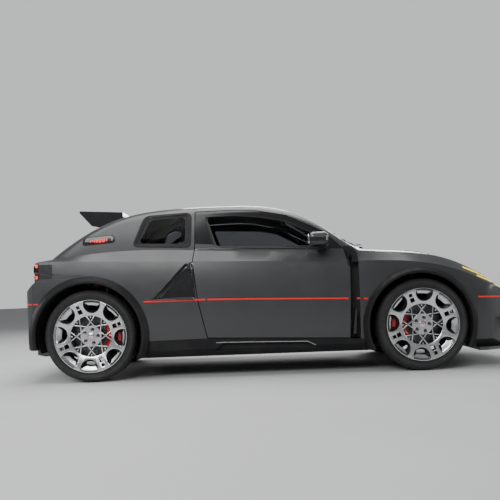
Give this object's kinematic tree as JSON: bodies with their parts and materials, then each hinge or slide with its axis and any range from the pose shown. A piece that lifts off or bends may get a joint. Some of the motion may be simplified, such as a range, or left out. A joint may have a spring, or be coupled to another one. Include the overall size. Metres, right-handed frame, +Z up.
{
  "type": "rally car",
  "caption": "Three-door hatchback rally car with flared arches, roof spoiler, roll cage and large cross-laced wheels; doors, bonnet, tailgate, steering and wheels move.",
  "frame": {"origin": "on the ground under the middle of the car's bounding box", "axes": "+X forward, +Y to the car's left, +Z up"},
  "size_m": [3.9594, 2.046, 1.4016],
  "materials": {
    "body_paint": "satin graphite grey paint",
    "dark_trim": "matt black moulded plastic",
    "underbody": "matt black",
    "glass": "smoked glass",
    "steel": "bare steel",
    "lamp_red": "clear red lens",
    "lamp_glass": "dark lamp lens",
    "soft_trim": "grained black",
    "seat_cloth": "woven cloth",
    "cage_paint": "light grey",
    "cast": "as cast",
    "chassis_steel": "satin black",
    "mirror_cap": "satin light metal",
    "rim_silver": "machined bright",
    "tyre": "rubber"
  },
  "bodies": {
    "body_shell": {"floor_pan": "underbody", "sills": "dark_trim", "inner_body": "underbody", "roof_frame": "body_paint", "windscreen": "glass", "rear_body": "body_paint", "quarter_windows": "glass", "side_intakes": "dark_trim", "rear_bumper": "body_paint", "rear_diffuser": "dark_trim", "exhaust": "steel", "tail_lamps": "lamp_red", "front_wings": "body_paint", "front_bumper": "body_paint", "front_splitter": "dark_trim", "grille": "dark_trim", "headlamps": "lamp_glass", "arch_flares": "dark_trim", "dashboard": "soft_trim", "seats": "seat_cloth", "roll_cage": "cage_paint", "engine_block": "cast", "front_suspension": "chassis_steel", "rear_suspension": "chassis_steel"},
    "door_left": {"door_left": "body_paint", "door_glass_left": "glass", "mirror_left": "mirror_cap"},
    "door_right": {"door_right": "body_paint", "door_glass_right": "glass", "mirror_right": "mirror_cap"},
    "bonnet": {"bonnet": "body_paint"},
    "tailgate": {"tailgate": "body_paint", "tailgate_glass": "glass", "rear_spoiler": "dark_trim"},
    "steering_wheel": {"steering_wheel": "soft_trim"},
    "knuckle_front_left": {"knuckle_front_left": "chassis_steel"},
    "knuckle_front_right": {"knuckle_front_right": "chassis_steel"},
    "wheel_front_left": {"wheel_front_left": "rim_silver", "tyre_front_left": "tyre"},
    "wheel_front_right": {"wheel_front_right": "rim_silver", "tyre_front_right": "tyre"},
    "wheel_rear_left": {"wheel_rear_left": "rim_silver", "tyre_rear_left": "tyre"},
    "wheel_rear_right": {"wheel_rear_right": "rim_silver", "tyre_rear_right": "tyre"}
  },
  "joints": [
    {"name": "door_left_hinge", "type": "hinge", "parent": "body_shell", "child": "door_left", "pos_m": [0.585, 0.85, 0.57], "axis": [0, 0, -1], "range_deg": [0, 65]},
    {"name": "door_right_hinge", "type": "hinge", "parent": "body_shell", "child": "door_right", "pos_m": [0.585, -0.85, 0.57], "axis": [0, 0, 1], "range_deg": [0, 65]},
    {"name": "bonnet_hinge", "type": "hinge", "parent": "body_shell", "child": "bonnet", "pos_m": [0.797, 0, 0.99065], "axis": [0, -1, 0], "range_deg": [0, 55]},
    {"name": "tailgate_hinge", "type": "hinge", "parent": "body_shell", "child": "tailgate", "pos_m": [-1.182, 0, 1.33731], "axis": [0, 1, 0], "range_deg": [0, 70]},
    {"name": "steer_left", "type": "hinge", "parent": "body_shell", "child": "knuckle_front_left", "pos_m": [1.14, 0.7055, 0.356], "axis": [0, 0, 1], "range_deg": [-30, 30]},
    {"name": "steer_right", "type": "hinge", "parent": "body_shell", "child": "knuckle_front_right", "pos_m": [1.14, -0.7055, 0.356], "axis": [0, 0, 1], "range_deg": [-30, 30]},
    {"name": "steering_wheel_turn", "type": "hinge", "parent": "body_shell", "child": "steering_wheel", "pos_m": [0.12, 0.37, 0.85], "axis": [-0.9272, 0, 0.3746], "range_deg": [-360, 360]},
    {"name": "wheel_front_left_spin", "type": "hinge", "parent": "knuckle_front_left", "child": "wheel_front_left", "pos_m": [1.14, 0.7775, 0.356], "axis": [0, 1, 0], "continuous": true},
    {"name": "wheel_front_right_spin", "type": "hinge", "parent": "knuckle_front_right", "child": "wheel_front_right", "pos_m": [1.14, -0.7775, 0.356], "axis": [0, 1, 0], "continuous": true},
    {"name": "wheel_rear_left_spin", "type": "hinge", "parent": "body_shell", "child": "wheel_rear_left", "pos_m": [-1.42, 0.7775, 0.356], "axis": [0, 1, 0], "continuous": true},
    {"name": "wheel_rear_right_spin", "type": "hinge", "parent": "body_shell", "child": "wheel_rear_right", "pos_m": [-1.42, -0.7775, 0.356], "axis": [0, 1, 0], "continuous": true}
  ],
  "couplings": [
    {"joint": "steer_right", "follows": "steer_left", "ratio": 1},
    {"joint": "steering_wheel_turn", "follows": "steer_left", "ratio": 12}
  ]
}
